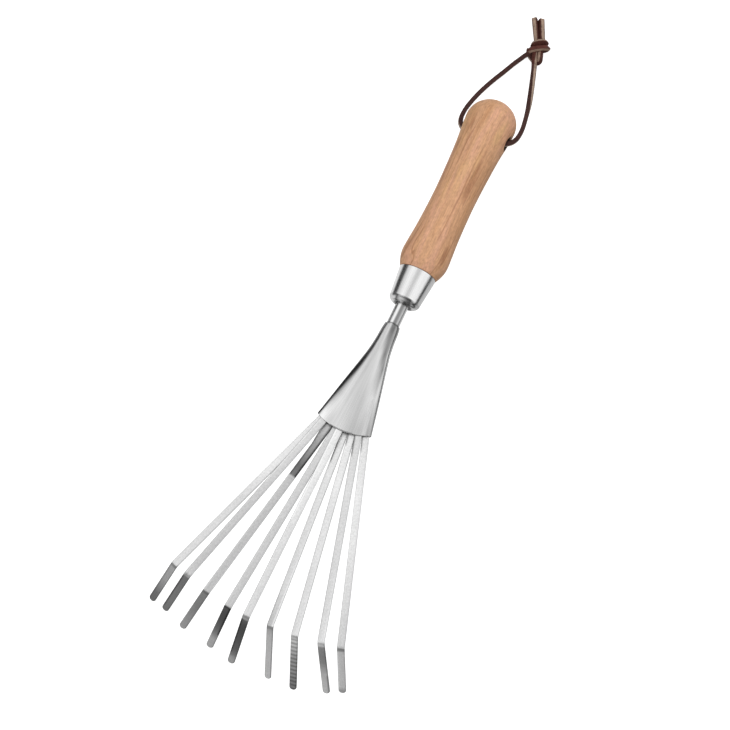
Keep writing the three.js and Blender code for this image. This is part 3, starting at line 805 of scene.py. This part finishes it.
# Painted shade and painted reflections on edges, darker or lighter beside their neighbours, as tine, edge,
# from and to in mm from the mouth, and tone.
EDGE_PAINTED_LIGHT = [
    (2, LEFT_EDGE, 0, 56, 1.18), (3, LEFT_EDGE, 14, 44, 0.5), (3, RIGHT_EDGE, 0, 44, 0.25),
    (5, LEFT_EDGE, 0, 70, 1.25), (6, LEFT_EDGE, 0, 23, 0.35), (7, LEFT_EDGE, 0, 10, 0.35),
    (8, LEFT_EDGE, 0, 15, 0.35), (9, LEFT_EDGE, 0, 9, 0.5), (1, LEFT_EDGE, 138, 180, 0.7),
    (2, LEFT_EDGE, 137, 166, 0.35), (4, RIGHT_EDGE, 138, 160, 0.3), (5, LEFT_EDGE, 139.5, 166, 0.3),
    (8, RIGHT_EDGE, 160, 180, 0.7),
]
# One tip has painted reflections in fine bands across it.
BANDED_TINE = 7
BANDS_FROM = 139.3  # from the mouth, mm
BAND_PITCH = 2.6
BAND_STRENGTH = 0.4
# One tine is wider on its left just outside the mouth.
FLARED_TINE = 3
FLARE_WIDTH = 2.2
FLARE_LENGTH = 19


def strip_ring(centre, direction, across, half_width, half_thickness):
    """The strip's section: flat faces and rounded edges. V 0 is in the middle of the upper face."""
    up = direction.cross(across).normalized()
    edge = min(0.5, half_width * 0.9, half_thickness * 0.9)
    flat, high = half_width - edge, half_thickness - edge
    points = [(0, half_thickness), (flat / 2, half_thickness)]
    for corner, (sx, sz) in enumerate(((1, 1), (1, -1), (-1, -1), (-1, 1))):
        for i in range(5):
            turn = math.radians(90 - 90 * corner - 22.5 * i)
            points.append((sx * flat + edge * math.cos(turn), sz * high + edge * math.sin(turn)))
        if corner == 1:
            points += [(flat / 2, -half_thickness), (0, -half_thickness), (-flat / 2, -half_thickness)]
    points.append((-flat / 2, half_thickness))
    return [centre + across * a + up * b for a, b in points]


def strip_stations(number, mouth, forward, across, turn, length):
    """Sections of the straight strip, from inside the socket to the bend, turning about its own line.

    A section is its distance from the mouth, centre, direction, sideways direction, half width and half
    thickness.
    """
    stations = [(s, mouth + forward * s, forward, across, TINE_HALF_WIDTH, TINE_HALF_THICKNESS)
                for s in (-17, -8)]
    stops = [i / STRIP_STEPS * length for i in range(STRIP_STEPS + 1)]
    stops = sorted(stops + [s for s, _ in TINE_PAINTED_LIGHT[number - 1] if 1 < s < length - 1])
    for s in stops:
        side = Matrix.Rotation(turn * s / length, 3, forward) @ across
        flare = FLARE_WIDTH / 2 * max(0, 1 - s / FLARE_LENGTH) if number == FLARED_TINE else 0
        centre = mouth + forward * s - side * flare
        stations.append((s, centre, forward, side, TINE_HALF_WIDTH + flare, TINE_HALF_THICKNESS))
    return stations


def bend_stations(s, point, direction, side, bend):
    """Sections of the bend down, beyond the section at s."""
    stations = []
    reach = 2 * BEND_RADIUS * math.tan(bend / BEND_STEPS / 2)
    for _ in range(BEND_STEPS):
        point = point + direction * reach / 2
        direction = Matrix.Rotation(bend / BEND_STEPS, 3, side) @ direction
        point = point + direction * reach / 2
        s += reach
        stations.append((s, point, direction, side, TINE_HALF_WIDTH, TINE_HALF_THICKNESS))
    return stations


def tip_stations(s, point, direction, side, straight):
    """Sections of the tip, straight and then narrowing round its end, beyond the section at s."""
    sizes = [(straight * i / TIP_STEPS, TINE_HALF_WIDTH, TINE_HALF_THICKNESS)
             for i in range(1, TIP_STEPS + 1)]
    for degrees in (15, 30, 45, 60, 72, 82):
        out = math.radians(degrees)
        width = TINE_HALF_WIDTH - CORNER_RADIUS * (1 - math.cos(out))
        sizes.append((straight + CORNER_RADIUS * math.sin(out), width, TINE_HALF_THICKNESS))
    sizes.append((straight + CORNER_RADIUS, width - 0.25, TINE_HALF_THICKNESS - 0.2))
    return [(s + beyond, point + direction * beyond, direction, side, width, thickness)
            for beyond, width, thickness in sizes]


def tine_stations(number, lean, root, level, extra, tip, turn):
    """All sections of a tine, from its end inside the socket to its tip."""
    lean = math.radians(lean)
    length = TINE_LENGTH + extra
    start = Vector((root, ROOT_Y, level * LEVEL_PITCH))
    corner = start + Vector((math.sin(lean), -math.cos(lean), 0)) * length
    corner.z = BEND_HEIGHT + BEND_PITCH * level
    forward = (corner - start).normalized()
    across = -forward.cross(Vector((0, 0, 1))).normalized()
    bend = math.asin((AXIS_HEIGHT + corner.z - TINE_HALF_THICKNESS) / tip)
    tangent = BEND_RADIUS * math.tan(bend / 2)
    mouth = corner - forward * length
    stations = strip_stations(number, mouth, forward, across, math.radians(turn), length - tangent)
    stations += bend_stations(*stations[-1][:4], bend)
    stations += tip_stations(*stations[-1][:4], tip - tangent - CORNER_RADIUS)
    return stations


def tine_tone(number, s, column):
    """The painted reflections and shade on a tine at s from the mouth, as tone in one column of its section.
    """
    value = interpolate(TINE_PAINTED_LIGHT[number - 1], s)
    for owner, edge, first, last, factor in EDGE_PAINTED_LIGHT:
        if owner == number and column in edge and first <= s < last:
            value *= factor
    # Painted reflections in bands across the tip.
    if number == BANDED_TINE and s > BANDS_FROM:
        value *= 1 + BAND_STRENGTH * math.sin(2 * math.pi * s / BAND_PITCH)
    return value


def make_tine(number, row):
    stations = tine_stations(number, *row)
    lift = Vector((0, 0, AXIS_HEIGHT))
    rings = [strip_ring(centre + lift, *rest) for _, centre, *rest in stations]
    tine = skin(f"steel_tine_{number}", rings, TINE_STEEL, sharp=40,
                tones=lambda i, j: tine_tone(number, stations[i][0], j))
    place(tine, RAKE, "tine_steel", f"tine_{number}")


for number, row in enumerate(TINES, start=1):
    make_tine(number, row)

# ------------------------------------------------------------------ studio

WHITE = (1.0, 1.0, 1.0)
KEY_PLACE = Vector((0.1, 0.3, 1.35))  # metres
FLOOR_HALF_SIDE = 1.1  # metres
FLOOR_Z = -0.00015  # just under the rake, metres


def add_floor():
    """A plain pale floor, just under the rake."""
    corners = ((-1, -1), (1, -1), (1, 1), (-1, 1))
    verts = [(x * FLOOR_HALF_SIDE, y * FLOOR_HALF_SIDE, FLOOR_Z) for x, y in corners]
    mesh = bpy.data.meshes.new("floor")
    mesh.from_pydata(verts, [], [(0, 1, 2, 3)])
    mesh.materials.append(floor_material())
    floor = bpy.data.objects.new("floor", mesh)
    bpy.context.scene.collection.objects.link(floor)
    floor.visible_glossy = False
    floor.visible_diffuse = False


def add_world():
    """Soft light from all round, paler overhead, with darker cards for the steel to show."""
    world = bpy.data.worlds.new("studio")
    world.use_nodes = True
    bpy.context.scene.world = world
    n = Nodes(world.node_tree)
    way = n.add("SeparateXYZ", {0: n.add("TexCoord").outputs["Generated"]})
    x, y, z = (n.add("MapRange", {0: way.outputs[i], 1: -1.0, 2: 1.0}).outputs[0] for i in range(3))
    above = n.ramp(x, [(0.0, 0.75), (0.11, 0.78), (0.30, 1.05), (0.42, 0.97), (0.56, 0.64), (0.66, 0.66),
                       (0.80, 1.05), (1.0, 0.95)])
    below = n.ramp(x, [(0.0, 0.85), (0.30, 0.9), (0.50, 0.75), (0.70, 0.55), (1.0, 0.52)])
    studio = n.mix(n.ramp(z, [(0.47, 0.0), (0.53, 1.0)]), below, above)

    def only_where(mask, card):
        return n.mix(mask, WHITE, card)

    left_card = n.ramp(z, [(0.36, 1.0), (0.41, 0.04), (0.68, 0.06), (0.76, 1.0)])
    left_card = only_where(n.ramp(x, [(0.20, 1.0), (0.30, 0.0)]), left_card)
    left_card = only_where(n.ramp(y, [(0.24, 0.0), (0.32, 1.0)]), left_card)
    right_card = n.ramp(z, [(0.27, 1.0), (0.32, 0.08), (0.46, 0.08), (0.50, 1.0)])
    right_card = only_where(n.ramp(x, [(0.70, 0.0), (0.80, 1.0)]), right_card)
    front_card = n.ramp(y, [(0.0, 0.95), (0.115, 1.0), (0.15, 0.15), (0.225, 0.12), (0.27, 1.05),
                            (0.45, 1.0)])
    front_card = only_where(n.ramp(x, [(0.22, 0.0), (0.27, 1.0)]), front_card)
    for card in (left_card, right_card, front_card):
        studio = n.mix(1.0, studio, card, "MULTIPLY")
    seen = n.mix(n.add("LightPath").outputs["Is Camera Ray"], studio, WHITE)
    background = n.add("Background", {"Color": seen, "Strength": 1.0})
    n.add("OutputWorld", {"Surface": background.outputs[0]})


def add_key_light():
    """One broad soft lamp, high over the handle, that the steel doesn't show."""
    data = bpy.data.lights.new("key", "AREA")
    data.shape = "DISK"
    data.size = 0.9
    data.energy = 7
    light = bpy.data.objects.new("key", data)
    light.location = KEY_PLACE
    light.visible_glossy = False
    light.rotation_euler = (-KEY_PLACE).to_track_quat("-Z", "Y").to_euler()
    bpy.context.scene.collection.objects.link(light)


add_floor()
add_world()
add_key_light()
bpy.context.scene.view_settings.view_transform = "Standard"
